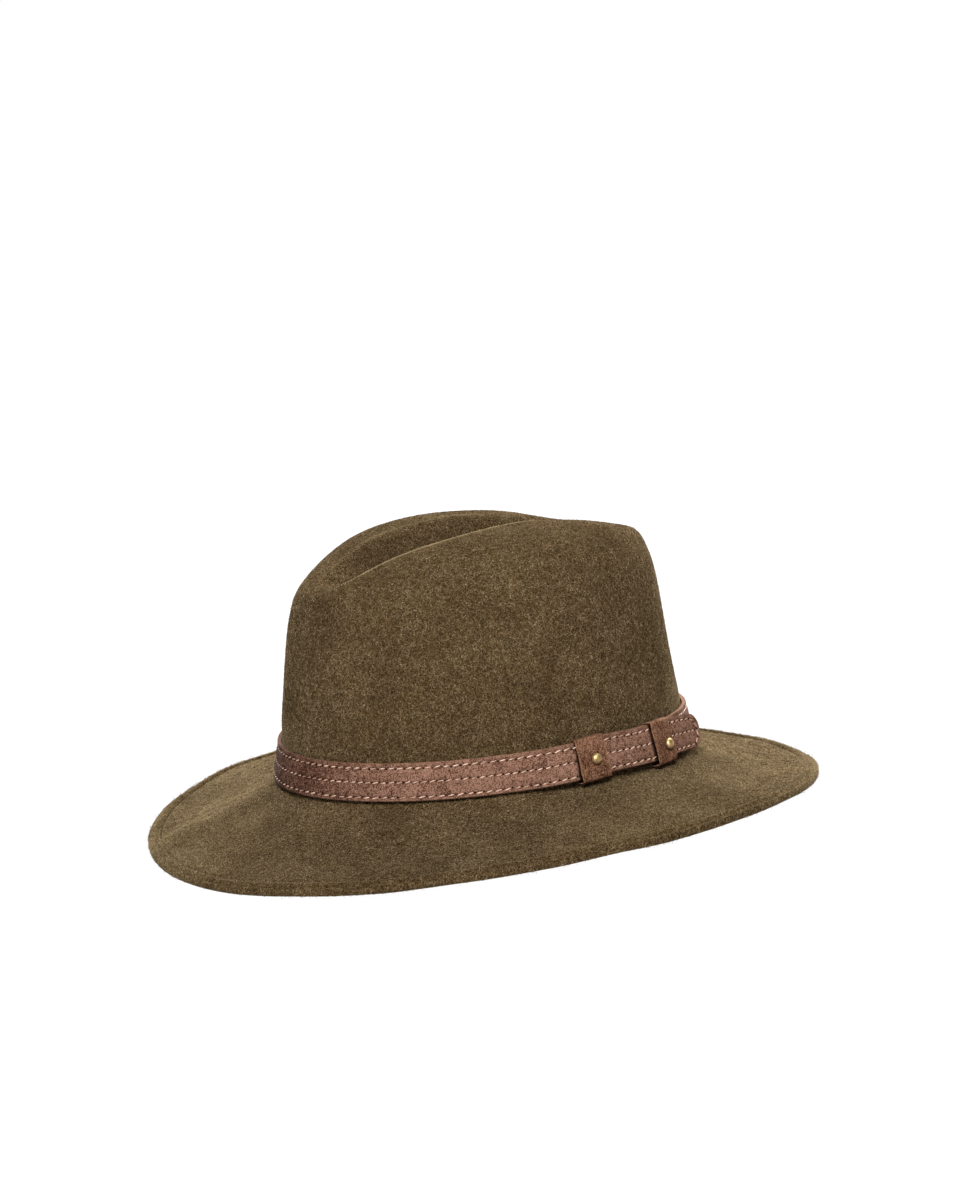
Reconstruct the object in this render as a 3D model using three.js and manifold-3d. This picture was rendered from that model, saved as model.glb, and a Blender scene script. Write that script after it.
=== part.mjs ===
// Wide-brim wool felt hat with a leather strap, two leather keepers and two brass rivets.
// Millimetres. The front of the hat points along -Y, the wearer's left is +X, up is +Z.
// The origin lies on the surface the brim rests on, under the middle of the brim.
// Angles run round the hat in degrees: 0 at the front, 90 at the wearer's left, 180 at the back.
import * as THREE from 'three';
import { mergeVertices } from 'three/addons/utils/BufferGeometryUtils.js';
import Module from 'manifold-3d';

const wasm = await Module();
wasm.setup();

// Felt
const feltThickness = 2.2;
const hemThickness = 4.2;           // the felt is folded under and stitched along the edge
const hemWidth = 6.8;               // from the outer edge in to the stitch groove
const hemRings = 3;                 // the last rings of the brim, where the felt is double
const grooveDepth = 0.6;
const grooveHalfWidth = 1.0;
const aroundSteps = 60;

// Heights in the tables are above the lower edge of the strap
const strapFootHeight = 27.9;
const crownShift = 2;               // the crown sits a little behind the middle of the brim
const pinchAngle = 42;              // the two front dents lie this far round from the front
const pinchSpread = 22;
const eggShape = 0.035;             // the head opening is narrower at the front

// One row for each level of the crown, from the floor of the centre crease down to the brim.
// power 2 is an ellipse and more is squarer, pinch is the depth of the front dents as a share of
// the half width, egg is the share of eggShape, and rings are the mesh rings up to the next row.
const crownColumns = [
  'halfWidth', 'front', 'back', 'power', 'pinch', 'egg', 'zFront', 'zSide', 'zBack', 'rings',
];
const crownTable = {
  creaseFloor: [5.5, 60.0, 51.0, 2.00, 0.10, 0.0, 84.5, 83.0, 77.0, 1],
  creaseFoot:  [9.5, 63.5, 54.0, 2.10, 0.12, 0.0, 85.3, 86.0, 78.5, 2],
  innerSlope:  [17.5, 74.0, 64.0, 2.30, 0.21, 0.0, 88.8, 99.0, 85.5, 2],
  crest:       [25.0, 84.5, 74.0, 2.30, 0.21, 0.0, 91.0, 107.8, 89.5, 3],
  shoulder:    [56.0, 90.0, 86.0, 2.00, 0.21, 0.0, 87.5, 103.5, 92.0, 3],
  upperWall:   [72.5, 90.0, 86.0, 2.10, 0.11, 0.2, 78.0, 87.0, 82.0, 3],
  midWall:     [77.9, 95.0, 89.5, 2.05, 0.03, 0.5, 52.0, 56.0, 54.0, 3],
  aboveStrap:  [82.4, 99.1, 94.4, 2.00, 0.00, 1.0, 24.0, 24.0, 20.0, 2],
  strapLine:   [82.8, 99.2, 95.4, 2.00, 0.00, 1.0, 17.0, 17.0, 13.0, 2],
  foot:        [86.3, 102.7, 99.0, 2.00, 0.00, 1.0, -1.2, -1.2, -5.2, 0],
};

// Brim: the middle of its rolled edge, and how steeply it leaves the crown
const edgeHalfWidth = 142.4;
const edgeHalfLength = 161.2;
const edgeEgg = 0.005;
const edgeHeight = -21.2;
const edgeDip = 5.1;                // the front and back hang lower than the sides by twice this
const brimStraight = 0.55;          // the rest of the fall is taken near the crown
const brimStations = [0.05, 0.18, 0.34, 0.52, 0.7, 0.84];
const rollSteps = 5;                // facets of the half round along the edge

// Strap, measured along its leaning face: out from the felt and up from its lower edge
const strapThickness = 1.8;
const strapWidth = 17.8;
const strapHalfWidth = 86.8;        // inner face at the lower edge
const strapFront = 103.2;
const strapBack = 99.6;
const strapBackDrop = 4;            // how much lower it lies at the back than at the sides and front
const strapLean = Math.atan2(3.5, strapWidth);
const strapChamfer = 0.4;
const gap = 0.3;
const strapStart = 82;              // hidden under the front keeper
const strapClimbStart = 63;
const strapClimbEnd = 79.4;
const strapSettleStart = 115;
const strapSettleEnd = 132;
const tongueStart = 113;
const tongueLength = 27;
const tongueTipSteps = 7;
const strapStepDegrees = 5;

// Keepers and rivets
const keeperFrontThickness = 1.2;
const keeperBackThickness = 0.8;
const keeperAboveStrap = 1.5;
const keeperBelowStrap = 0.9;
const keeperCorner = 1.2;
const keeperSteps = 6;
// fold is how far the lower fold hangs below the strap, as the brim falls away
const keepers = {
  front: { from: 80.6, to: 88.8, rivet: 84.4, rivetHeight: 9.8, fold: 1.5 },
  rear: { from: 104.2, to: 113.4, rivet: 110.6, rivetHeight: 7.6, fold: 2.0 },
};
const rivetDomeRadius = 2.5;
const rivetDomeHeight = 1.7;
const rivetShankRadius = 1.1;
const rivetSides = 20;
const rivetDomeSteps = 5;
const shankEndGap = 0.5;

// Room past both ends of a cutter, and how near two corners are before they are one
const cutterOverrun = 2;
const weldDistance = 1e-4;
const smallTurn = 1e-4;

// Where the layers lie, out from the felt side of the strap
const underLift = keeperBackThickness + gap;
const overLift = underLift + strapThickness + gap;
const keeperFrontFace = overLift + strapThickness + gap + keeperFrontThickness;

const feltColour = new THREE.MeshStandardMaterial({ color: 0x55452c, roughness: 0.95, metalness: 0 });
const strapColour = new THREE.MeshStandardMaterial({ color: 0x745246, roughness: 0.8, metalness: 0 });
const keeperColour = new THREE.MeshStandardMaterial({ color: 0x6a4b3c, roughness: 0.85, metalness: 0 });
const brassColour = new THREE.MeshStandardMaterial({ color: 0x9a8248, roughness: 0.35, metalness: 1 });

const { clamp, degToRad: radians, radToDeg: degreesOf, smoothstep } = THREE.MathUtils;
const vector = (x, y, z) => new THREE.Vector3(x, y, z);

function signedPower(value, exponent) {
  return Math.sign(value) * Math.abs(value) ** exponent;
}

// One point of a crown row at a given angle
function crownPoint(row, degrees) {
  const side = Math.sin(radians(degrees));
  const ahead = Math.cos(radians(degrees));
  const length = ahead > 0 ? row.front : row.back;
  const endHeight = ahead > 0 ? row.zFront : row.zBack;
  const fromFront = degreesOf(Math.acos(clamp(ahead, -1, 1)));
  const dent = 1 - row.pinch * Math.exp(-(((fromFront - pinchAngle) / pinchSpread) ** 2));
  const egg = 1 - row.egg * eggShape * ahead;
  return vector(
    row.halfWidth * signedPower(side, 2 / row.power) * dent * egg,
    crownShift - length * signedPower(ahead, 2 / row.power),
    strapFootHeight + row.zSide + (endHeight - row.zSide) * ahead ** 2,
  );
}

// The crown's outer skin as rings of points, smooth from row to row
function crownRings() {
  const rows = Object.values(crownTable).map((values) => Object.fromEntries(
    crownColumns.map((column, index) => [column, values[index]]),
  ));
  const stations = rows.flatMap((row, index) => (
    Array.from({ length: row.rings }, (_, step) => (index + step / row.rings) / (rows.length - 1))));
  stations.push(1);
  const columns = aroundAngles().map((degrees) => {
    const line = new THREE.CatmullRomCurve3(rows.map((row) => crownPoint(row, degrees)));
    return stations.map((station) => line.getPoint(station));
  });
  return stations.map((_, ring) => columns.map((column) => column[ring]));
}

function aroundAngles() {
  return Array.from({ length: aroundSteps }, (_, step) => (360 * step) / aroundSteps);
}

// The top of the brim's edge at a given angle
function edgeTop(degrees) {
  const turn = radians(degrees);
  return vector(
    edgeHalfWidth * Math.sin(turn) * (1 - edgeEgg * Math.cos(turn)),
    -edgeHalfLength * Math.cos(turn),
    strapFootHeight + edgeHeight - edgeDip * Math.cos(2 * turn) + hemThickness / 2,
  );
}

// The brim's upper skin as rings, from just outside the crown to the top of the edge
function brimRings(footRing) {
  const inFromEdge = hemWidth - hemThickness / 2;
  const grooveStations = [
    { inset: inFromEdge + 2 * grooveHalfWidth, sink: 0 },
    { inset: inFromEdge + grooveHalfWidth, sink: 0 },
    { inset: inFromEdge, sink: grooveDepth },
    { inset: inFromEdge - grooveHalfWidth, sink: 0 },
  ];
  const place = (foot, degrees, share, sink) => {
    const edge = edgeTop(degrees);
    const fall = brimStraight * share + (1 - brimStraight) * (1 - (1 - share) ** 2);
    const point = foot.clone().lerp(edge, share);
    point.z = foot.z + (edge.z - foot.z) * fall - sink;
    return point;
  };
  const angles = aroundAngles();
  const rings = brimStations.map((share) => angles.map((degrees, step) => (
    place(footRing[step], degrees, share, 0))));
  grooveStations.forEach(({ inset, sink }) => {
    rings.push(angles.map((degrees, step) => {
      const edge = edgeTop(degrees);
      const width = Math.hypot(edge.x - footRing[step].x, edge.y - footRing[step].y);
      return place(footRing[step], degrees, 1 - inset / width, sink);
    }));
  });
  rings.push(angles.map((degrees) => edgeTop(degrees)));
  return rings;
}

// Unit normals of a sheet of rings, pointing out of the felt's upper skin
function ringNormals(rings) {
  return rings.map((ring, level) => ring.map((_, step) => {
    const count = ring.length;
    const around = ring[(step + 1) % count].clone().sub(ring[(step + count - 1) % count]);
    const inner = rings[Math.max(level - 1, 0)][step];
    const outer = rings[Math.min(level + 1, rings.length - 1)][step];
    return around.cross(inner.clone().sub(outer)).normalize();
  }));
}

// Crown and brim in one piece of felt, hollow from below
function feltBody() {
  const crown = crownRings();
  const brim = brimRings(crown[crown.length - 1]);
  const upper = [...crown, ...brim];
  const normals = ringNormals(upper);
  const last = upper.length - 1;
  const depthAt = (level) => (level > last - hemRings ? hemThickness : feltThickness);
  const lower = upper.map((ring, level) => ring.map((point, step) => (
    point.clone().addScaledVector(normals[level][step], -depthAt(level)))));
  const roll = [];
  for (let turn = 1; turn < rollSteps; turn += 1) {
    const sweep = (Math.PI * turn) / rollSteps;
    roll.push(upper[last].map((point, step) => {
      const normal = normals[last][step];
      const outward = point.clone().sub(upper[last - 1][step]);
      outward.addScaledVector(normal, -outward.dot(normal)).normalize();
      const middle = point.clone().addScaledVector(normal, -hemThickness / 2);
      middle.addScaledVector(normal, (hemThickness / 2) * Math.cos(sweep));
      return middle.addScaledVector(outward, (hemThickness / 2) * Math.sin(sweep));
    }));
  }
  const rings = [...upper, ...roll, ...lower.reverse()];
  rings.forEach((ring) => ring.forEach((point) => point.setZ(Math.max(point.z, 0))));
  return ringSolid(rings);
}

// A closed solid from rings that start and end as narrow slots along the crown's middle
function ringSolid(rings) {
  const count = rings[0].length;
  const positions = rings.flat().flatMap((point) => [point.x, point.y, point.z]);
  const indices = [];
  for (let level = 0; level < rings.length - 1; level += 1) {
    for (let step = 0; step < count; step += 1) {
      const next = (step + 1) % count;
      const a = level * count + step;
      const b = level * count + next;
      indices.push(a, a + count, b, b, a + count, b + count);
    }
  }
  closeSlot(indices, 0, count, false);
  closeSlot(indices, (rings.length - 1) * count, count, true);
  return closedGeometry(positions, indices);
}

function closeSlot(indices, offset, count, flipped) {
  const add = (a, b, c) => indices.push(offset + a, offset + (flipped ? c : b), offset + (flipped ? b : c));
  for (let step = 0; step < count / 2; step += 1) {
    const mirror = (count - step) % count;
    const nextMirror = count - step - 1;
    if (mirror !== step) add(mirror, step, nextMirror);
    if (step + 1 !== nextMirror) add(step, step + 1, nextMirror);
  }
}

function closedGeometry(positions, indices) {
  const geometry = new THREE.BufferGeometry();
  geometry.setAttribute('position', new THREE.Float32BufferAttribute(positions, 3));
  geometry.setIndex(signedVolume(positions, indices) < 0 ? indices.slice().reverse() : indices);
  return geometry;
}

function signedVolume(positions, indices) {
  const corner = (index) => vector(...positions.slice(3 * index, 3 * index + 3));
  let volume = 0;
  for (let face = 0; face < indices.length; face += 3) {
    const [a, b, c] = [corner(indices[face]), corner(indices[face + 1]), corner(indices[face + 2])];
    volume += a.dot(b.cross(c)) / 6;
  }
  return volume;
}

// The frame of the strap at an angle: a point on its seat, the way along it and the way out
function strapFrame(degrees) {
  const turn = radians(degrees);
  const place = (angle) => {
    const side = Math.sin(angle);
    const ahead = Math.cos(angle);
    return vector(
      strapHalfWidth * side * (1 - eggShape * ahead),
      crownShift - (ahead > 0 ? strapFront : strapBack) * ahead,
      strapFootHeight - strapBackDrop * Math.min(ahead, 0) ** 2,
    );
  };
  const along = place(turn + smallTurn).sub(place(turn - smallTurn)).normalize();
  return { point: place(turn), along, out: vector(along.y, -along.x, 0).normalize() };
}

// A point out from the strap's seat and up its leaning face
function onStrap(frame, out, up) {
  const sideways = out * Math.cos(strapLean) - up * Math.sin(strapLean);
  const rise = out * Math.sin(strapLean) + up * Math.cos(strapLean);
  return frame.point.clone().addScaledVector(frame.out, sideways).add(vector(0, 0, rise));
}

// How far the strap stands off its seat: over the keepers' back legs, then over its own start
function strapLift(degrees) {
  const turned = degrees - 360;
  if (turned > strapClimbStart) return overLift * smoothstep(turned, strapClimbStart, strapClimbEnd);
  return underLift * (1 - smoothstep(degrees, strapSettleStart, strapSettleEnd));
}

function chamferedBand(inner, outer, low, high, cut) {
  return [
    [inner, low + cut], [inner + cut, low], [outer - cut, low], [outer, low + cut],
    [outer, high - cut], [outer - cut, high], [inner + cut, high], [inner, high - cut],
  ];
}

// A closed solid swept through sections, each a ring of points
function sweptSolid(sections) {
  const count = sections[0].length;
  const positions = sections.flat().flatMap((point) => [point.x, point.y, point.z]);
  const indices = [];
  for (let level = 0; level < sections.length - 1; level += 1) {
    for (let step = 0; step < count; step += 1) {
      const next = (step + 1) % count;
      const a = level * count + step;
      const b = level * count + next;
      indices.push(a, a + count, b, b, a + count, b + count);
    }
  }
  const end = (sections.length - 1) * count;
  for (let step = 1; step < count - 1; step += 1) {
    indices.push(0, step, step + 1);
    indices.push(end, end + step + 1, end + step);
  }
  return closedGeometry(positions, indices);
}

// The strap goes once round, over its own start, and ends in a straight rounded tongue
function hatBand() {
  const sections = [];
  const addSection = (frame, lift, halfHeight) => {
    const low = strapWidth / 2 - halfHeight;
    const high = strapWidth / 2 + halfHeight;
    const corners = chamferedBand(lift, lift + strapThickness, low, high, strapChamfer);
    sections.push(corners.map(([out, up]) => onStrap(frame, out, up)));
  };
  const turns = 360 + tongueStart - strapStart;
  const steps = Math.round(turns / strapStepDegrees);
  for (let step = 0; step <= steps; step += 1) {
    const degrees = strapStart + (turns * step) / steps;
    addSection(strapFrame(degrees), strapLift(degrees), strapWidth / 2);
  }
  const radius = strapWidth / 2;
  const straight = tongueLength - radius;
  const root = strapFrame(tongueStart);
  for (let step = 0; step < tongueTipSteps; step += 1) {
    const sweep = (Math.PI / 2) * (step / tongueTipSteps);
    const reach = straight + radius * Math.sin(sweep);
    const frame = { ...root, point: root.point.clone().addScaledVector(root.along, reach) };
    addSection(frame, overLift, radius * Math.cos(sweep));
  }
  return sweptSolid(sections);
}

// A sweep of one section along the strap between two angles
function strapSweep(section, from, to, steps) {
  return sweptSolid(Array.from({ length: steps + 1 }, (_, step) => {
    const frame = strapFrame(from + ((to - from) * step) / steps);
    return section.map(([out, up]) => onStrap(frame, out, up));
  }));
}

// A leather loop round the strap, open along the strap
function keeperLoop({ from, to, fold }) {
  const top = strapWidth + keeperAboveStrap;
  const outer = [
    [0, -keeperBelowStrap], [keeperFrontFace - keeperCorner, -fold],
    [keeperFrontFace, keeperCorner - fold], [keeperFrontFace, top - keeperCorner],
    [keeperFrontFace - keeperCorner, top], [keeperCorner, top], [0, top - keeperCorner],
  ];
  const low = -gap;
  const high = strapWidth + gap;
  const front = keeperFrontFace - keeperFrontThickness;
  const inner = [
    [keeperBackThickness, low], [front, low], [front, high], [keeperBackThickness, high],
  ];
  const block = solidOf(strapSweep(outer, from, to, keeperSteps));
  const space = solidOf(strapSweep(inner, from - cutterOverrun, to + cutterOverrun, keeperSteps));
  return block.subtract(space);
}

function solidOf(geometry) {
  const bare = new THREE.BufferGeometry();
  bare.setAttribute('position', geometry.getAttribute('position'));
  bare.setIndex(geometry.index);
  const welded = mergeVertices(bare, weldDistance);
  return new wasm.Manifold(new wasm.Mesh({
    numProp: 3,
    vertProperties: new Float32Array(welded.attributes.position.array),
    triVerts: new Uint32Array(welded.index.array),
  }));
}

function geometryOf(solid) {
  const mesh = solid.getMesh();
  const geometry = new THREE.BufferGeometry();
  geometry.setAttribute('position', new THREE.BufferAttribute(new Float32Array(mesh.vertProperties), 3));
  geometry.setIndex(new THREE.BufferAttribute(new Uint32Array(mesh.triVerts), 1));
  return geometry;
}

// Where a rivet stands: on the front face of its keeper, square to it
function rivetSeat({ rivet, rivetHeight }) {
  const frame = strapFrame(rivet);
  const seat = onStrap(frame, keeperFrontFace + gap, rivetHeight);
  const inside = onStrap(frame, 0, rivetHeight);
  return { seat, axis: seat.clone().sub(inside).normalize() };
}

function placeOnRivet(object, keeper) {
  const { seat, axis } = rivetSeat(keeper);
  object.position.copy(seat);
  object.quaternion.setFromUnitVectors(vector(0, 1, 0), axis);
  return object;
}

// The hole for a rivet's shank, as a cutter placed where the rivet goes
function rivetHole(keeper, depth) {
  const radius = rivetShankRadius + gap;
  const cutter = new THREE.CylinderGeometry(radius, radius, depth + cutterOverrun, rivetSides);
  cutter.translate(0, (cutterOverrun - depth) / 2, 0);
  const holder = placeOnRivet(new THREE.Object3D(), keeper);
  holder.updateMatrix();
  return solidOf(cutter.applyMatrix4(holder.matrix));
}

// A domed brass head on a plain shank that ends inside the under layer of the strap
function rivetShape() {
  const shankLength = keeperFrontFace + gap - underLift - shankEndGap;
  const outline = [
    new THREE.Vector2(0, -shankLength),
    new THREE.Vector2(rivetShankRadius, -shankLength),
    new THREE.Vector2(rivetShankRadius, 0),
    new THREE.Vector2(rivetDomeRadius, 0),
  ];
  for (let step = 1; step < rivetDomeSteps; step += 1) {
    const sweep = (Math.PI / 2) * (step / rivetDomeSteps);
    const across = rivetDomeRadius * Math.cos(sweep);
    outline.push(new THREE.Vector2(across, rivetDomeHeight * Math.sin(sweep)));
  }
  outline.push(new THREE.Vector2(0, rivetDomeHeight));
  return new THREE.LatheGeometry(outline, rivetSides);
}

function addMesh(group, name, geometry, material) {
  const mesh = new THREE.Mesh(geometry, material);
  mesh.name = name;
  group.add(mesh);
  return mesh;
}

const hat = new THREE.Group();
addMesh(hat, 'felt_body', feltBody(), feltColour);

const holeThroughStraps = keeperFrontFace + gap - underLift;
const holeThroughKeeper = keeperFrontThickness + 2 * gap;
let band = solidOf(hatBand());
Object.entries(keepers).forEach(([place, keeper]) => {
  band = band.subtract(rivetHole(keeper, holeThroughStraps + gap));
  const loop = keeperLoop(keeper).subtract(rivetHole(keeper, holeThroughKeeper));
  addMesh(hat, `keeper_${place}`, geometryOf(loop), keeperColour);
  placeOnRivet(addMesh(hat, `rivet_${place}`, rivetShape(), brassColour), keeper);
});
addMesh(hat, 'hat_band', geometryOf(band), strapColour);

export default hat;
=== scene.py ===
# %% [markdown]
# # A wide-brim wool felt hat
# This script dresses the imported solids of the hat: it models the felt, the leather strap with its
# stitching, the two keepers and the two rivets in fine meshes, and gives each its real material.
# The hat's front points along -Y, the wearer's left is +X and up is +Z. Blender works in metres,
# but a hatter works in millimetres, so sizes here are in millimetres and MM turns them to metres.

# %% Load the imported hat
import math

import bmesh
import bpy
import numpy as np
from mathutils import Matrix, Vector, noise
from mathutils.kdtree import KDTree


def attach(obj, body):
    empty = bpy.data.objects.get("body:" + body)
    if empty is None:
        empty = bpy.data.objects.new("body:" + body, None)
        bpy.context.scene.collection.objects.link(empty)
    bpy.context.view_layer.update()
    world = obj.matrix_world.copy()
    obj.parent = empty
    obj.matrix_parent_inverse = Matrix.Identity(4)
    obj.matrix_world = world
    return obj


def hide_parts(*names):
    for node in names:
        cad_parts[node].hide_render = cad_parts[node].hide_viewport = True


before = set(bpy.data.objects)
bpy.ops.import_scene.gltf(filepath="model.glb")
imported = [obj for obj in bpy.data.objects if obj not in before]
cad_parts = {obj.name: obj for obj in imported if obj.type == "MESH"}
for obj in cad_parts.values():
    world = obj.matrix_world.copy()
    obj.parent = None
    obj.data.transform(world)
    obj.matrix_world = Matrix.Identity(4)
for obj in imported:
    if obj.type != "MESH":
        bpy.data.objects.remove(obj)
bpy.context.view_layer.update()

scene = bpy.context.scene
MM = 0.001

# %% [markdown]
# ## Camera
# The photograph is taken from the hat's front left, a little above the brim, and the camera leans
# slightly. The angles, the distance and the focal length come from fitting the outlines of the brim
# and the strap, so the camera is placed by those numbers. It aims at a point near the hat's middle.

# %% Place the camera
IMAGE_HEIGHT = 1200
CAMERA_TURN = math.radians(51.52)
CAMERA_RISE = math.radians(10.49)
CAMERA_ROLL = math.radians(-4.46)
CAMERA_DISTANCE = 1700 * MM
FOCAL_LENGTH_PIXELS = 3672
SENSOR_SIZE = 36
AIM_RIGHT = -1.29 * MM
AIM_UP = 70.07 * MM
AIM_BASE = Vector((0, 2 * MM, 27.9 * MM))

towards_camera = Vector((
    math.sin(CAMERA_TURN) * math.cos(CAMERA_RISE),
    -math.cos(CAMERA_TURN) * math.cos(CAMERA_RISE),
    math.sin(CAMERA_RISE),
))
level_right = Vector((math.cos(CAMERA_TURN), math.sin(CAMERA_TURN), 0))
level_up = towards_camera.cross(level_right)
camera_right = level_right * math.cos(CAMERA_ROLL) + level_up * math.sin(CAMERA_ROLL)
camera_up = level_up * math.cos(CAMERA_ROLL) - level_right * math.sin(CAMERA_ROLL)

camera = bpy.data.objects.new("camera", bpy.data.cameras.new("camera"))
camera.data.lens = FOCAL_LENGTH_PIXELS * SENSOR_SIZE / IMAGE_HEIGHT
camera.data.sensor_width = SENSOR_SIZE
place = AIM_BASE + camera_right * AIM_RIGHT + camera_up * AIM_UP + towards_camera * CAMERA_DISTANCE
axes = Matrix((camera_right, camera_up, towards_camera)).transposed()
camera.matrix_world = Matrix.Translation(place) @ axes.to_4x4()
scene.collection.objects.link(camera)
scene.camera = camera
print("camera lens in mm:", round(camera.data.lens, 1))

# %% [markdown]
# ## Helpers for materials
# Colours are picked as sRGB hex values, as in a paint program, but shaders work in linear light, so
# one function converts them. Another adds a node, sets it up and links its inputs in one go.


# %% Colour and node helpers
def linear(hex_colour):
    """A linear RGBA colour from an sRGB hex value such as '#5c4a32'."""
    channels = [int(hex_colour[index:index + 2], 16) / 255 for index in (1, 3, 5)]
    return [
        value / 12.92 if value <= 0.04045 else ((value + 0.055) / 1.055) ** 2.4
        for value in channels
    ] + [1.0]


def add_node(material, kind, inputs=(), **settings):
    """Adds a node. A value in inputs is set on the socket, and another node's socket is linked."""
    tree = material.node_tree
    node = tree.nodes.new(kind)
    for name, value in settings.items():
        setattr(node, name, value)
    for key, value in dict(inputs).items():
        if isinstance(value, bpy.types.NodeSocket):
            tree.links.new(value, node.inputs[key])
        else:
            node.inputs[key].default_value = value
    return node


def new_material(name):
    material = bpy.data.materials.new(name)
    material.use_nodes = True
    material.node_tree.nodes.clear()
    return material


def finish_material(material, shader):
    add_node(material, "ShaderNodeOutputMaterial", {"Surface": shader.outputs[0]})


def set_ramp(node, stops):
    """Sets a colour ramp's stops from pairs of position and hex colour."""
    ramp = node.color_ramp
    while len(ramp.elements) < len(stops):
        ramp.elements.new(0.5)
    for element, (position, colour) in zip(ramp.elements, stops):
        element.position = position
        element.color = linear(colour)


def add_noise(material, place, size, detail=2.0, roughness=0.5, distortion=0.0):
    """A noise texture's grey value, whose largest features are this many millimetres apart."""
    return add_node(material, "ShaderNodeTexNoise", {
        "Vector": place, "Scale": 1 / (size * MM), "Detail": detail, "Roughness": roughness,
        "Distortion": distortion}).outputs["Fac"]


def blend_greys(material, parts):
    """Adds grey values by their weights, round a middle grey of 0.5."""
    total = 0.5 - 0.5 * sum(weight for grey, weight in parts)
    for grey, weight in parts:
        total = add_node(material, "ShaderNodeMath", {
            0: grey, 1: weight, 2: total}, operation="MULTIPLY_ADD").outputs[0]
    return total


# %% [markdown]
# ## Studio
# The photo is lit like most product photos, on a glowing white table in front of a bright white wall.
# Both look pure white to the camera, and the room gives a much weaker even light. The wall lights the
# hat's outline from behind, a soft box over the camera rounds the crown, and one above and behind
# brings out the nap on the brim.

# %% Light and floor
scene.view_settings.view_transform = "Standard"
scene.view_settings.look = "None"

ROOM_LIGHT = 0.05
studio = bpy.data.worlds.new("studio")
studio.use_nodes = True
studio.node_tree.nodes.clear()
sight = add_node(studio, "ShaderNodeLightPath")
white_wall = add_node(studio, "ShaderNodeBackground", {
    "Color": linear("#ffffff"), "Strength": 1.0})
room = add_node(studio, "ShaderNodeBackground", {
    "Color": linear("#ffffff"), "Strength": ROOM_LIGHT})
seen = add_node(studio, "ShaderNodeMixShader", {
    "Fac": sight.outputs["Is Camera Ray"], 1: room.outputs[0], 2: white_wall.outputs[0]})
add_node(studio, "ShaderNodeOutputWorld", {"Surface": seen.outputs[0]})
scene.world = studio


def soft_box(name, turn, rise, distance, size, power):
    """An area lamp that looks at the hat. turn is degrees from the hat's front to its left."""
    lamp = bpy.data.objects.new(name, bpy.data.lights.new(name, "AREA"))
    lamp.data.shape = "DISK"
    lamp.data.size = size
    lamp.data.energy = power
    turn, rise = math.radians(turn), math.radians(rise)
    direction = Vector((
        math.sin(turn) * math.cos(rise), -math.cos(turn) * math.cos(rise), math.sin(rise)))
    lamp.location = direction * distance + Vector((0, 0, 60 * MM))
    lamp.rotation_euler = direction.to_track_quat("Z", "Y").to_euler()
    scene.collection.objects.link(lamp)


soft_box("camera_soft_box", turn=51, rise=40, distance=2.4, size=1.0, power=77)
soft_box("back_soft_box", turn=208, rise=44, distance=2.2, size=1.0, power=56)
soft_box("bright_wall", turn=231, rise=8, distance=2.6, size=3.0, power=325)

# The table top is milky acrylic, lit from below
TABLE_GLOW = 1.0
table_acrylic = new_material("milky_acrylic")
finish_material(table_acrylic, add_node(table_acrylic, "ShaderNodeBsdfPrincipled", {
    "Base Color": linear("#404040"), "Roughness": 1.0, "Specular IOR Level": 0.0,
    "Emission Color": linear("#ffffff"), "Emission Strength": TABLE_GLOW}))

FLOOR_RADIUS = 6
FLOOR_DROP = 0.3 * MM
shape = bmesh.new()
bmesh.ops.create_circle(shape, cap_ends=True, segments=64, radius=FLOOR_RADIUS)
bmesh.ops.translate(shape, verts=shape.verts, vec=(0, 0, -FLOOR_DROP))
floor_mesh = bpy.data.meshes.new("floor")
shape.to_mesh(floor_mesh)
shape.free()
floor = bpy.data.objects.new("floor", floor_mesh)
floor_mesh.materials.append(table_acrylic)
scene.collection.objects.link(floor)


# %% [markdown]
# ## Finishing a piece
# Each piece is made in a bmesh, then becomes an object that rides on the hat's one rigid body
# and stands for its CAD node.


# %% Turn a bmesh into a piece of the hat
def make_piece(name, shape, materials, replaces):
    mesh = bpy.data.meshes.new(name)
    shape.normal_update()
    shape.to_mesh(mesh)
    shape.free()
    mesh.shade_smooth()
    piece = bpy.data.objects.new(name, mesh)
    for material in materials:
        mesh.materials.append(material)
    scene.collection.objects.link(piece)
    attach(piece, "root")
    if replaces:
        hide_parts(replaces)
    mesh.calc_loop_triangles()
    print(f"{name}: {len(mesh.vertices)} vertices, {len(mesh.loop_triangles)} triangles")
    return piece


def repeat(shape, count):
    """A bmesh with copies of a small shape, all in one place and in order."""
    mesh = bpy.data.meshes.new("one")
    shape.to_mesh(mesh)
    shape.free()
    one = bpy.data.objects.new("one", mesh)
    scene.collection.objects.link(one)
    copies = one.modifiers.new("copies", "ARRAY")
    copies.count = count
    copies.use_relative_offset = False
    many = bmesh.new()
    many.from_object(one, bpy.context.evaluated_depsgraph_get())
    bpy.data.objects.remove(one)
    return many


def get_points(vertices):
    return np.array([vertex.co for vertex in vertices])


def smooth_step(value, low, high):
    share = np.clip((value - low) / (high - low), 0, 1)
    return share * share * (3 - 2 * share)


def mark_points(shape, name, shares):
    """Stores a number from 0 to 1 at each point, for the material to read."""
    layer = shape.verts.layers.float.new(name)
    for vertex, share in zip(shape.verts, shares):
        vertex[layer] = share


def set_points(vertices, points):
    for vertex, point in zip(vertices, points):
        vertex.co = point


# %% [markdown]
# ## Felt
# Crown and brim are one blocked piece of wool felt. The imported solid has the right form, with its
# crease, its two front dents and its folded hem, but in flat facets. So its mesh is copied, its
# loose triangles are merged and joined to quads, and subdivision makes it round.

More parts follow.
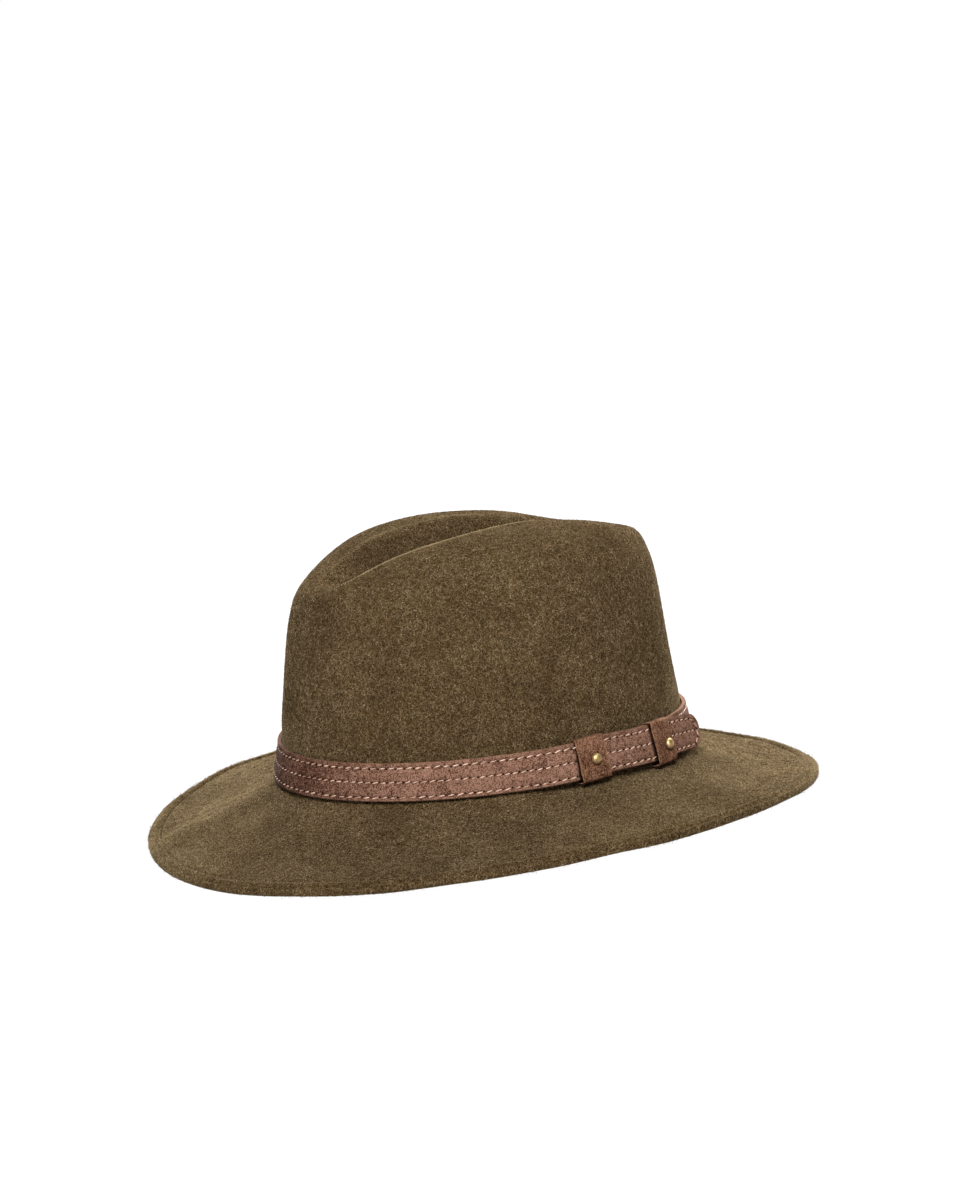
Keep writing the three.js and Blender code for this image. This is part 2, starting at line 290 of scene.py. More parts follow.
# %% Felt material
# Wool felt is a mat of crimped fibres with no gloss. Light and dark hairs are blended in it, so up
# close it is speckled, and a nap of loose hair ends makes it pale where it is seen edge-on.
felt_material = new_material("olive_brown_wool_felt")
felt_place = add_node(felt_material, "ShaderNodeTexCoord").outputs["Object"]

CLOUD_SIZE = 28
MOTTLE_SIZE = 3.0
SPECK_SIZE = 0.6
# A real wool hair is 0.03 mm thick, too fine to show, so each curl drawn here is a small lock of them
CURL_SIZES = (2.1, 1.5)
CURL_WIDTH = 0.035
# The nap shines fully below the first level and least above the second
NAP_LEVELS = (38 * MM, 62 * MM)
SHEEN_LEVELS = (1.8, 0.4)
SHEEN_COLOUR = "#c5b18a"
# The strip of painted shade in the centre crease fades out between these distances from the
# hat's middle, to the sides and to the ends, and between these heights
CREASE_SIDES = (3 * MM, 26 * MM)
CREASE_ENDS = (30 * MM, 74 * MM)
CREASE_LEVELS = (97 * MM, 106 * MM)
CREASE_DARKNESS = 0.4


def add_curls(material, place, size, seed):
    """1 along thin curled lines, which are the places where a soft noise passes its middle value."""
    shifted = add_node(material, "ShaderNodeVectorMath", {
        0: place, 1: (seed, 2 * seed, 3 * seed)}, operation="ADD").outputs[0]
    waves = add_noise(material, shifted, size, detail=1.0, roughness=0.4, distortion=0.3)
    lines = add_node(material, "ShaderNodeValToRGB", {"Fac": waves})
    set_ramp(lines, [
        (0.5 - CURL_WIDTH, "#000000"), (0.5, "#ffffff"), (0.5 + CURL_WIDTH, "#000000")])
    return lines.outputs["Color"]


def add_sheen(material, place, grey):
    """How much the nap shines where it is seen edge-on. It stands up more on the brim than on the
    crown, which is steamed and brushed flat, and pale tufts shine most."""
    height = add_node(material, "ShaderNodeSeparateXYZ", {"Vector": place}).outputs["Z"]
    standing = add_node(material, "ShaderNodeMapRange", {
        "Value": height, "From Min": NAP_LEVELS[0], "From Max": NAP_LEVELS[1],
        "To Min": SHEEN_LEVELS[0], "To Max": SHEEN_LEVELS[1]})
    tufts = add_node(material, "ShaderNodeMath", {0: grey, 1: 2.0}, operation="POWER")
    return add_node(material, "ShaderNodeMath", {
        0: standing.outputs["Result"], 1: tufts.outputs[0]}, operation="MULTIPLY").outputs[0]


def paint_crease_shade(material, place, colour):
    """Paints shade into the colour of the felt in the centre crease, between its two crests."""
    split = add_node(material, "ShaderNodeSeparateXYZ", {"Vector": place})
    share = add_node(material, "ShaderNodeMapRange", {
        "Value": split.outputs["Z"], "From Min": CREASE_LEVELS[0], "From Max": CREASE_LEVELS[1],
        "To Min": 0.0, "To Max": CREASE_DARKNESS}).outputs["Result"]
    for axis, (inner, outer) in (("X", CREASE_SIDES), ("Y", CREASE_ENDS)):
        away = add_node(material, "ShaderNodeMath", {0: split.outputs[axis]}, operation="ABSOLUTE")
        inside = add_node(material, "ShaderNodeMapRange", {
            "Value": away.outputs[0], "From Min": inner, "From Max": outer,
            "To Min": 1.0, "To Max": 0.0})
        share = add_node(material, "ShaderNodeMath", {
            0: share, 1: inside.outputs["Result"]}, operation="MULTIPLY").outputs[0]
    return add_node(material, "ShaderNodeMix", {
        "Factor": share, "A": colour, "B": linear("#171008")},
        data_type="RGBA").outputs["Result"]


felt_cloud = add_noise(felt_material, felt_place, CLOUD_SIZE, detail=3.0)
felt_mottle = add_noise(felt_material, felt_place, MOTTLE_SIZE, detail=3.0, roughness=0.6)
felt_speck = add_noise(felt_material, felt_place, SPECK_SIZE, detail=1.0)
felt_depth = blend_greys(felt_material, [
    (felt_cloud, 0.25), (felt_mottle, 0.2), (felt_speck, 0.9)])
felt_ground = add_node(felt_material, "ShaderNodeValToRGB", {"Fac": felt_depth})
set_ramp(felt_ground, [(0.25, "#1a1209"), (0.50, "#392b18"), (0.75, "#5a472c")])
felt_curls = add_node(felt_material, "ShaderNodeMath", {
    0: add_curls(felt_material, felt_place, CURL_SIZES[0], 0.0),
    1: add_curls(felt_material, felt_place, CURL_SIZES[1], 0.37)}, operation="MAXIMUM")
felt_pale = add_node(felt_material, "ShaderNodeMath", {
    0: felt_curls.outputs[0], 1: felt_mottle}, operation="MULTIPLY")
felt_colour = add_node(felt_material, "ShaderNodeMix", {
    "Factor": felt_pale.outputs[0], "A": felt_ground.outputs["Color"],
    "B": linear("#877254")}, data_type="RGBA")
# Along the folds beside the crease the nap is roughed up, so it shines more where it is seen edge-on
felt_worn = add_node(felt_material, "ShaderNodeAttribute", attribute_name="worn")
felt_sheen = add_node(felt_material, "ShaderNodeMath", {
    0: add_sheen(felt_material, felt_place, felt_depth), 1: felt_worn.outputs["Fac"]},
    operation="ADD")
# The needle has pulled the seam of the hem down into the felt, and painted shade darkens the felt's
# colour along it, where the light doesn't reach
felt_seam_shade = add_node(felt_material, "ShaderNodeAttribute", attribute_name="seam")
felt_shaded = add_node(felt_material, "ShaderNodeMix", {
    "Factor": felt_seam_shade.outputs["Fac"],
    "A": paint_crease_shade(felt_material, felt_place, felt_colour.outputs["Result"]),
    "B": linear("#1a130b")}, data_type="RGBA")
felt_bump = add_node(felt_material, "ShaderNodeBump", {
    "Height": felt_curls.outputs[0], "Strength": 0.6, "Distance": 0.2 * MM})
finish_material(felt_material, add_node(felt_material, "ShaderNodeBsdfPrincipled", {
    "Base Color": felt_shaded.outputs["Result"],
    "Roughness": 1.0,
    "Specular IOR Level": 0.0,
    "Sheen Weight": felt_sheen.outputs[0],
    "Sheen Roughness": 0.35,
    "Sheen Tint": linear(SHEEN_COLOUR),
    "Normal": felt_bump.outputs["Normal"]}))
print("felt material:", len(felt_material.node_tree.nodes), "nodes")

# %% Round the felt
MERGE_DISTANCE = 0.01 * MM
FELT_SUBDIVISIONS = 2
# Where the crown is folded over to its centre crease, the fold is fairly sharp, and a little
# higher on the wearer's left
CREST_LEVEL = 110 * MM
CREST_ANGLE = math.radians(28)
CREST_SHARPNESS = 0.8
CREST_FADE = (5 * MM, 45 * MM)
CREST_RISE = 1.2 * MM
CREST_LINE_STEPS = 12

shape = bmesh.new()
shape.from_mesh(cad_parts["felt_body"].data)
bmesh.ops.remove_doubles(shape, verts=shape.verts, dist=MERGE_DISTANCE)
bmesh.ops.join_triangles(
    shape, faces=shape.faces, angle_face_threshold=math.pi, angle_shape_threshold=math.pi)
shape.normal_update()
sharpness = shape.edges.layers.float.new("crease_edge")
for edge in shape.edges:
    high = min(vertex.co.z for vertex in edge.verts) > CREST_LEVEL
    if high and edge.calc_face_angle_signed() > CREST_ANGLE:
        edge[sharpness] = CREST_SHARPNESS * (1 - smooth_step(edge.verts[0].co.y, *CREST_FADE))
crest = {vertex for edge in shape.edges if edge[sharpness] > 0 for vertex in edge.verts}
for vertex in crest:
    on_left = smooth_step(vertex.co.x, 0, 10 * MM)
    vertex.co.z += CREST_RISE * on_left * (1 - smooth_step(vertex.co.y, *CREST_FADE))
crest_line = [
    edge.verts[0].co.lerp(edge.verts[1].co, share) for edge in shape.edges
    if edge[sharpness] > 0 for share in np.linspace(0, 1, CREST_LINE_STEPS)]
coarse_mesh = bpy.data.meshes.new("coarse_felt")
shape.to_mesh(coarse_mesh)
shape.free()
coarse_felt = bpy.data.objects.new("coarse_felt", coarse_mesh)
scene.collection.objects.link(coarse_felt)
rounding = coarse_felt.modifiers.new("rounding", "SUBSURF")
rounding.levels = rounding.render_levels = FELT_SUBDIVISIONS
shape = bmesh.new()
shape.from_object(coarse_felt, bpy.context.evaluated_depsgraph_get())
bpy.data.objects.remove(coarse_felt)
print("felt after rounding:", len(shape.verts), "vertices")

# %% [markdown]
# The real brim isn't perfectly even. Its hem is a plump roll stitched down in a seam, wear has left
# one soft fold across its front right, with a hollow beside it, and all over it the felt swells and
# dips by fractions of a millimetre. All of these are smooth shares from 0 to 1 of how far a point
# lies from a line, which then push the points.

# %% How far each point of the felt is from the brim's edge and from the crests
EDGE_HALF_WIDTH, EDGE_HALF_LENGTH, EDGE_EGG = 142.4, 161.2, 0.005
EDGE_LINE_STEP = 0.25
FACING_UP = 0.3


def distance_to(line, points):
    """How far each point is from the nearest point of a closely set line."""
    tree = KDTree(len(line))
    for index, point in enumerate(line):
        tree.insert(point, index)
    tree.balance()
    return np.array([tree.find(point)[2] for point in points])


turns = np.radians(np.arange(0, 360, EDGE_LINE_STEP))
edge_line = np.stack([
    EDGE_HALF_WIDTH * np.sin(turns) * (1 - EDGE_EGG * np.cos(turns)),
    -EDGE_HALF_LENGTH * np.cos(turns), np.zeros(len(turns))], axis=1)
points = get_points(shape.verts) / MM
facing_up = np.array([vertex.normal.z for vertex in shape.verts]) > FACING_UP
inset = distance_to(edge_line, points * (1, 1, 0))
from_crest = distance_to(np.array(crest_line) / MM, points)
round_from_front = np.degrees(np.arctan2(points[:, 0], -points[:, 1]))
print("widest inset in mm:", round(inset.max(), 1))

# %% Seam, fold and unevenness
SEAM_INSET = 4.7
SEAM_HALF_WIDTH = 0.5
SEAM_DEPTH = 0.4
# How strongly painted shade darkens the felt's colour along the seam
SEAM_SHADE = 0.7
# The hem's roll swells and sinks between these distances from the brim's edge
HEM_START, HEM_END = (0, 1.8), (3.2, SEAM_INSET)
HEM_RISE = 0.9
RIM_WEAR = (0.5, 2.0)
WORN_HALF_WIDTH = 1.5
WORN_ENDS = (-90, -64), (10, 60)
FOLD_OUTER, FOLD_INNER = (4, 18), (48, 58)
FOLD_TURN, FOLD_SPREAD, FOLD_HEIGHT = -24, 5.5, 1.7
HOLLOW_TURN, HOLLOW_SPREAD, HOLLOW_DEPTH = -37, 8, 1.2
# The felt stays even where the strap sits: above it by height, below it by distance from the edge
ABOVE_STRAP, BELOW_STRAP = (52, 70), (42, 52)
SWELL_SIZE = 34
SWELL_HEIGHT = 0.8
# Noise vectors start from a random place, so a seed makes every run the same
SWELL_SEED = 4
# The crown's back left corner was blocked fuller than the rest
FULL_CORNER, FULL_SPREAD = (22, 66, 117), 20
FULL_PUSH = (0.5, 1.6, 1.2)

worn = np.exp(-(from_crest / WORN_HALF_WIDTH) ** 2)
worn *= smooth_step(points[:, 1], *WORN_ENDS[0]) * (1 - smooth_step(points[:, 1], *WORN_ENDS[1]))
rim_wear = 1 - smooth_step(inset, *RIM_WEAR)
seam = np.exp(-((inset - SEAM_INSET) / SEAM_HALF_WIDTH) ** 2) * facing_up
hem = smooth_step(inset, *HEM_START) * (1 - smooth_step(inset, *HEM_END)) * facing_up
on_brim = smooth_step(inset, *FOLD_OUTER) * (1 - smooth_step(inset, *FOLD_INNER))
fold = np.exp(-((round_from_front - FOLD_TURN) / FOLD_SPREAD) ** 2)
hollow = np.exp(-((round_from_front - HOLLOW_TURN) / HOLLOW_SPREAD) ** 2)
clear_of_strap = np.maximum(
    smooth_step(points[:, 2], *ABOVE_STRAP), 1 - smooth_step(inset, *BELOW_STRAP))
noise.seed_set(SWELL_SEED)
swell = np.array([noise.noise_vector(point / SWELL_SIZE) for point in points])
points += SWELL_HEIGHT * swell * clear_of_strap[:, None]
full = np.exp(-(np.linalg.norm(points - FULL_CORNER, axis=1) / FULL_SPREAD) ** 2)
points += full[:, None] * FULL_PUSH
points[:, 2] += on_brim * (FOLD_HEIGHT * fold - HOLLOW_DEPTH * hollow)
points[:, 2] += HEM_RISE * hem - SEAM_DEPTH * seam
points[:, 2] = np.maximum(points[:, 2], 0)
set_points(shape.verts, points * MM)
# The seam attribute carries the painted shade along the seam
mark_points(shape, "seam", SEAM_SHADE * seam)
mark_points(shape, "worn", worn)
mark_points(shape, "bare", np.clip(2 * seam + worn + 0.75 * rim_wear, 0, 1))
felt = make_piece("felt", shape, [felt_material], "felt_body")

# %% [markdown]
# ## Nap
# What the eye picks out on wool felt are the loose curled ends of its hairs, the nap. They stand a
# little off the surface, so they also soften the outline of the brim and the crown. They are made as
# thin ribbons strewn over the felt: one ribbon is a small grid, an array repeats it, and the copies
# are laid out together as arrays of numbers. A fixed seed makes every run give the same hat.

# %% Hair material
# Undyed and dyed hairs lie side by side in such felt, so locks differ from pale tan to dark brown
hair_material = new_material("loose_wool_hair")
hair_place = add_node(hair_material, "ShaderNodeTexCoord").outputs["Object"]
HAIR_MIX_SIZE = 0.6
hair_mixed = blend_greys(hair_material, [
    (add_noise(hair_material, hair_place, CLOUD_SIZE, detail=3.0), 0.2),
    (add_noise(hair_material, hair_place, HAIR_MIX_SIZE, roughness=0.7), 1.0)])
hair_colour = add_node(hair_material, "ShaderNodeValToRGB", {"Fac": hair_mixed})
set_ramp(hair_colour, [(0.34, "#261b10"), (0.5, "#655238"), (0.66, "#b8a384")])
# The hair gets the same painted shade in the centre crease as the felt
finish_material(hair_material, add_node(hair_material, "ShaderNodeBsdfPrincipled", {
    "Base Color": paint_crease_shade(hair_material, hair_place, hair_colour.outputs["Color"]),
    "Roughness": 1.0,
    "Specular IOR Level": 0.0,
    "Sheen Weight": add_sheen(hair_material, hair_place, hair_mixed),
    "Sheen Roughness": 0.35,
    "Sheen Tint": linear(SHEEN_COLOUR)}))
print("hair material:", len(hair_material.node_tree.nodes), "nodes")

# %% Places for the nap
INSIDE_SHARE = 0.25
# The felt's outer side faces up or away from the hat's middle by more than these shares
OUTSIDE_RISE, OUTSIDE_TURN = 0.25, 0.1
# A triangle smaller than this, in square metres, counts as nothing
NO_AREA = 1e-15


def sample_surface(mesh, count, random):
    """Random places on the felt, with their normals. There are fewer where the felt faces in or down,
    and where its bare attribute says so."""
    mesh.calc_loop_triangles()
    corners = np.empty(len(mesh.loop_triangles) * 3, dtype=np.int32)
    mesh.loop_triangles.foreach_get("vertices", corners)
    points = np.empty(len(mesh.vertices) * 3)
    mesh.vertices.foreach_get("co", points)
    triangles = points.reshape(-1, 3)[corners.reshape(-1, 3)]
    crossed = np.cross(triangles[:, 1] - triangles[:, 0], triangles[:, 2] - triangles[:, 0])
    area = np.linalg.norm(crossed, axis=1)
    normals = crossed / np.maximum(area, NO_AREA)[:, None]
    away = triangles.mean(axis=1) * (1, 1, 0)
    away /= np.linalg.norm(away, axis=1)[:, None]
    outside = (normals[:, 2] > OUTSIDE_RISE) | ((normals * away).sum(axis=1) > OUTSIDE_TURN)
    bare = np.empty(len(mesh.vertices))
    mesh.attributes["bare"].data.foreach_get("value", bare)
    grown = 1 - bare[corners.reshape(-1, 3)].mean(axis=1)
    weight = area * np.where(outside, 1, INSIDE_SHARE) * grown
    chosen = random.choice(len(weight), size=count, p=weight / weight.sum())
    share = random.dirichlet((1, 1, 1), size=count)
    return (triangles[chosen] * share[:, :, None]).sum(axis=1), normals[chosen]


# %% Grow the nap
NAP_PATCHES = 4
LOCKS_PER_PATCH = 45000
LOCK_LENGTH, LENGTH_RANGE = 2.7, (0.5, 1.3)
# A lock stands for a pinch of hairs, so it is about five times as wide as one hair
LOCK_WIDTH, WIDTH_RANGE = 0.15, (0.6, 1.3)
LOCK_LIFT, LIFT_RANGE = 0.22, (0.3, 1.5)
LOCK_CURL = math.radians(130)
LOCK_ROLL = 1.2
BRUSHED = 0.5
RIBBON_ROWS = 3
TIP_NARROWING = 0.75
# A ribbon stands off the felt in an arch that begins low and ends lower than its middle
ARCH_START, ARCH_SPAN = 0.1, 0.75
# Below this sideways share of its normal the felt counts as level
LEVEL = 1e-6


def lay_ribbons(places, normals, random):
    """Points of one curled ribbon at each place, in the order of the template's points."""
    count = len(places)
    aside = np.cross(normals, (0, 0, 1))
    aside[np.linalg.norm(aside, axis=1) < LEVEL] = (1, 0, 0)
    aside /= np.linalg.norm(aside, axis=1)[:, None]
    downhill = np.cross(aside, normals)
    angle = random.uniform(0, 2 * np.pi, count)
    curl = random.uniform(-LOCK_CURL, LOCK_CURL, count)
    length = LOCK_LENGTH * MM * random.uniform(*LENGTH_RANGE, count)
    lift = LOCK_LIFT * MM * random.uniform(*LIFT_RANGE, count)
    roll = random.uniform(-LOCK_ROLL, LOCK_ROLL, count)
    width = LOCK_WIDTH * MM * random.uniform(*WIDTH_RANGE, count)
    middle, rows = places.copy(), []
    for row in range(RIBBON_ROWS):
        share = row / (RIBBON_ROWS - 1)
        turn = angle + curl * share
        along = aside * np.cos(turn)[:, None] + downhill * (np.sin(turn) + BRUSHED)[:, None]
        along /= np.linalg.norm(along, axis=1)[:, None]
        if row:
            middle = middle + along * (length / (RIBBON_ROWS - 1))[:, None]
        height = lift * math.sin(math.pi * (ARCH_START + ARCH_SPAN * share))
        across = np.cross(normals, along)
        across = across * np.cos(roll)[:, None] + normals * np.sin(roll)[:, None]
        half = across * (width / 2 * (1 - TIP_NARROWING * share ** 2))[:, None]
        centre = middle + normals * height[:, None]
        rows.append(np.stack([centre - half, centre + half], axis=1))
    ribbons = np.stack(rows, axis=2)
    ribbons[..., 2] = np.maximum(ribbons[..., 2], 0)
    return ribbons


random = np.random.default_rng(7)
for patch in range(NAP_PATCHES):
    shape = bmesh.new()
    bmesh.ops.create_grid(shape, x_segments=RIBBON_ROWS - 1, y_segments=1, size=1)
    shape = repeat(shape, LOCKS_PER_PATCH)
    ribbons = lay_ribbons(*sample_surface(felt.data, LOCKS_PER_PATCH, random), random)
    set_points(shape.verts, ribbons.reshape(-1, 3))
    make_piece(f"felt_nap_{patch + 1}", shape, [hair_material], None)

# %% [markdown]
# ## Where the strap lies
# The strap is easiest to make as a saddler does: cut flat, stitched flat, then wrapped round the
# crown. So every leather piece is made in flat coordinates: the distance along the strap, the height
# above its lower edge, and the distance out from the felt. One function then wraps flat points
# round the hat. The numbers repeat those of the CAD source.

# %% The strap's seat round the crown
STRAP_FOOT = 27.9
CROWN_SHIFT = 2
STRAP_HALF_WIDTH = 86.8
STRAP_FRONT = 103.2
STRAP_BACK = 99.6
STRAP_BACK_DROP = 4
EGG_SHAPE = 0.035
STRAP_WIDTH = 17.8
STRAP_THICKNESS = 1.8
STRAP_LEAN = math.atan2(3.5, STRAP_WIDTH)
STRAP_START = 82
STRAP_TURN_END = 360 + 113
TONGUE_LENGTH = 27
UNDER_LIFT = 1.1
OVER_LIFT = 3.2
CLIMB_START, CLIMB_END = 360 + 63, 360 + 79.4
SETTLE_START, SETTLE_END = 115, 132
SMALL_TURN = 0.01
# The strap doesn't touch the brim, its lap rides up where the front keeper pulls it, and the free
# tongue sinks and leans out
BRIM_GAP = 0.9
LAP_LIFT, LAP_MIDDLE, LAP_SPREAD = 1.2, 360 + 89, 10
TONGUE_DROP, TONGUE_LEAN = 0.8, 1.2

# Where the two keepers and their rivets sit, in degrees round from the front and in millimetres
KEEPERS = {
    "front": {
        "start": 79.9, "end": 88.1, "fold": 1.5, "rivet": 84.8, "rivet_height": 8.4, "skew": -1.0},
    "rear": {
        "start": 104.7, "end": 113.6, "fold": 2.0, "rivet": 110.6, "rivet_height": 6.8,
        "skew": -0.6},
}


def seat_point(degrees):
    """The foot of the strap's inner face, in millimetres, at angles round from the front."""
    side, ahead = np.sin(np.radians(degrees)), np.cos(np.radians(degrees))
    reach = np.where(ahead > 0, STRAP_FRONT, STRAP_BACK)
    return np.stack([
        STRAP_HALF_WIDTH * side * (1 - EGG_SHAPE * ahead),
        CROWN_SHIFT - reach * ahead,
        STRAP_FOOT - STRAP_BACK_DROP * np.minimum(ahead, 0) ** 2,
    ], axis=-1)


table_degrees = np.linspace(STRAP_START, STRAP_TURN_END, 3000)
table_steps = np.linalg.norm(np.diff(seat_point(table_degrees), axis=0), axis=1)
table_lengths = np.concatenate([[0], np.cumsum(table_steps)])
TURN_LENGTH = table_lengths[-1]
STRAP_LENGTH = TURN_LENGTH + TONGUE_LENGTH


def length_at(degrees):
    return float(np.interp(degrees, table_degrees, table_lengths))


def wrap(flat, on_strap=True):
    """Wraps flat points (along, up, out) in millimetres round the hat, as metres.
    On the strap, out is measured from the strap's own inner face, which climbs over the lap."""
    along, up, out = flat[:, 0], flat[:, 1], flat[:, 2]
    degrees = np.interp(along, table_lengths, table_degrees)
    tangent = seat_point(degrees + SMALL_TURN) - seat_point(degrees - SMALL_TURN)
    tangent /= np.linalg.norm(tangent, axis=1)[:, None]
    outward = np.stack([tangent[:, 1], -tangent[:, 0], np.zeros(len(flat))], axis=1)
    outward /= np.linalg.norm(outward, axis=1)[:, None]
    up = up + LAP_LIFT * np.exp(-((degrees - LAP_MIDDLE) / LAP_SPREAD) ** 2)
    if on_strap:
        up = BRIM_GAP + up * (1 - BRIM_GAP / STRAP_WIDTH)
        free = smooth_step(along, STRAP_LENGTH - TONGUE_LENGTH, STRAP_LENGTH)
        up = up - free * (TONGUE_DROP + TONGUE_LEAN * up / STRAP_WIDTH)
        settled = UNDER_LIFT * (1 - smooth_step(degrees, SETTLE_START, SETTLE_END))
        out = out + settled + OVER_LIFT * smooth_step(degrees, CLIMB_START, CLIMB_END)
    sideways = out * math.cos(STRAP_LEAN) - up * math.sin(STRAP_LEAN)
    rise = out * math.sin(STRAP_LEAN) + up * math.cos(STRAP_LEAN)
    overshoot = np.maximum(along - TURN_LENGTH, 0) + np.minimum(along, 0)
    points = seat_point(degrees) + tangent * overshoot[:, None] + outward * sideways[:, None]
    points[:, 2] += rise
    return points * MM


print("strap length in mm:", round(STRAP_LENGTH, 1))


# %% [markdown]
# ## Strap
# The strap is soft split leather with a napped face, folded and stitched so that it is plump
# between its three stitch rows. It starts as a flat grid with one rounded end, is extruded to its
# thickness, gets rounded cut edges with a bevel, and is pressed in along the stitch rows.

# %% Leather materials
# Nubuck is leather whose grain side is sanded to a fine nap. It has no gloss, its colour is cloudy
# where the nap lies differently, and it is paler where edges are rubbed or cut.
CLOUDY_SIZE = 7
SCUFF_SIZE = 1.7
NAP_SIZE = 0.5


def nubuck(name, dark, middle, pale, edge):
    """Napped leather. Three attributes of the mesh tell where it is cut, where its colour is paler,
    and where painted shade darkens it.
    """
    material = new_material(name)
    place = add_node(material, "ShaderNodeTexCoord").outputs["Object"]
    scuff = add_noise(material, place, SCUFF_SIZE, detail=4.0, roughness=0.75, distortion=0.6)
    nap = add_noise(material, place, NAP_SIZE, detail=2.0, roughness=0.6)
    # The attribute named rubbed shifts the colour paler where it is high
    mixed = blend_greys(material, [
        (add_node(material, "ShaderNodeAttribute", attribute_name="rubbed").outputs["Fac"], 0.24),
        (add_noise(material, place, CLOUDY_SIZE, detail=4.0, roughness=0.6), 0.5),
        (scuff, 1.1), (nap, 1.9)])
    colour = add_node(material, "ShaderNodeValToRGB", {"Fac": mixed})
    set_ramp(colour, [(0.25, dark), (0.50, middle), (0.78, pale)])
    cut_edge = add_node(material, "ShaderNodeAttribute", attribute_name="cut_edge")
    worn = add_node(material, "ShaderNodeMath", {
        0: cut_edge.outputs["Fac"], 1: mixed}, operation="MULTIPLY")
    rubbed = add_node(material, "ShaderNodeMix", {
        "Factor": worn.outputs[0], "A": colour.outputs["Color"], "B": linear(edge)},
        data_type="RGBA")
    # Painted shade darkens the colour where the shade attribute is high
    shade = add_node(material, "ShaderNodeAttribute", attribute_name="shade")
    shaded = add_node(material, "ShaderNodeMix", {
        "Factor": shade.outputs["Fac"], "A": rubbed.outputs["Result"], "B": linear("#150d08")},
        data_type="RGBA")
    bump = add_node(material, "ShaderNodeBump", {
        "Height": nap, "Strength": 0.6, "Distance": 0.3 * MM})
    bump = add_node(material, "ShaderNodeBump", {
        "Height": scuff, "Strength": 0.5, "Distance": 0.5 * MM,
        "Normal": bump.outputs["Normal"]})
    finish_material(material, add_node(material, "ShaderNodeBsdfPrincipled", {
        "Base Color": shaded.outputs["Result"],
        "Roughness": 0.9,
        "Specular IOR Level": 0.04,
        "Normal": bump.outputs["Normal"]}))
    return material


strap_leather = nubuck("brown_nubuck_strap", "#2e1b13", "#5e4032", "#957260", "#84604a")
keeper_leather = nubuck("dark_nubuck_keeper", "#352017", "#674632", "#94705a", "#92684e")
print("leathers:", strap_leather.name, keeper_leather.name)

# %% Shape of the strap, flat
STITCH_PITCH = 4.2
MIDDLE_PITCH = 3.7
STITCH_LENGTH = 3.0
TOP_ROW = STRAP_WIDTH - 2.4
MIDDLE_ROW = STRAP_WIDTH - 9.0
BOTTOM_ROW = 1.8
TIP_RADIUS = STRAP_WIDTH / 2
TIP_POWER = 2.4
TIP_SWEEP = math.radians(86)
TIP_START = STRAP_LENGTH - TIP_RADIUS
ROW_PRESS = 0.42
ROW_PRESS_WIDTH = 0.9
EDGE_BEVEL = 0.5
EDGE_ANGLE = math.radians(60)
GRID_STEP = 1.05
# The leather's face and its cut edges waver by these heights
FACE_WAVE, EDGE_WAVE = 0.18, 0.22
# The strap's colour is paler from the front round to the wearer's left and a little at the front
# right, in degrees round from the front, and painted shade darkens its stitch rows, its lower edge
# and the strap just before each keeper
PALE_START, PALE_END = -15, 42
RIGHT_PALE, RIGHT_SPREAD, RIGHT_SHARE = -40, 14, 0.22
ROW_SHADE, ROW_SHADE_WIDTH = 0.5, 0.45
KEEPER_SHADE = 1.0


def round_tip(along, up):
    """Narrows the flat grid's last columns into the tongue's rounded end."""
    middle = STRAP_WIDTH / 2
    sweep = np.clip((along - TIP_START) / TIP_RADIUS, 0, TIP_SWEEP)
    reach = TIP_RADIUS * np.sin(sweep) ** (2 / TIP_POWER)
    narrow = np.cos(sweep) ** (2 / TIP_POWER)
    return np.where(along > TIP_START, TIP_START + reach, along), middle + (up - middle) * narrow


def row_distance(along, up):
    """How far flat points are from the nearest stitch row, round the tip included."""
    middle = (TOP_ROW + BOTTOM_ROW) / 2
    radius = (TOP_ROW - BOTTOM_ROW) / 2
    past = np.maximum(along - TIP_START, 0)
    outer = np.abs(np.hypot(past, up - middle) - radius)
    centre = np.where(along < STRAP_LENGTH - 3, np.abs(up - MIDDLE_ROW), radius)
    return np.minimum(outer, centre)


def edge_distance(along, up):
    """How far flat points are inside the strap's outline."""
    half = STRAP_WIDTH / 2
    past = np.maximum(along - TIP_START, 0)
    across = np.abs(up - half)
    return half - (past ** TIP_POWER + across ** TIP_POWER) ** (1 / TIP_POWER)


def round_cut_edges(shape, width, segments):
    """Bevels the sharp edges of a leather piece."""
    shape.normal_update()
    sharp = [
        edge for edge in shape.edges
        if len(edge.link_faces) == 2 and edge.calc_face_angle() > EDGE_ANGLE]
    bmesh.ops.bevel(
        shape, geom=sharp, offset=width, offset_type="OFFSET", affect="EDGES", segments=segments,
        profile=0.5, material=-1, clamp_overlap=True)


print("stitch rows above the strap's foot in mm:", BOTTOM_ROW, MIDDLE_ROW, TOP_ROW)

# %% Cut, thicken and press the strap
grid_length = TIP_START + TIP_RADIUS * TIP_SWEEP
columns = round(grid_length / GRID_STEP)
GRID_ROWS = 26

shape = bmesh.new()
bmesh.ops.create_grid(shape, x_segments=columns, y_segments=GRID_ROWS, size=0.5)
flat = get_points(shape.verts) + [0.5, 0.5, 0]
along, up = round_tip(flat[:, 0] * grid_length, flat[:, 1] * STRAP_WIDTH)
set_points(shape.verts, np.stack([along, up, flat[:, 2]], axis=1))
raised = bmesh.ops.extrude_face_region(shape, geom=shape.faces[:])["geom"]
raised = [item for item in raised if isinstance(item, bmesh.types.BMVert)]
bmesh.ops.translate(shape, verts=raised, vec=(0, 0, STRAP_THICKNESS))
bmesh.ops.recalc_face_normals(shape, faces=shape.faces)
round_cut_edges(shape, EDGE_BEVEL, 3)

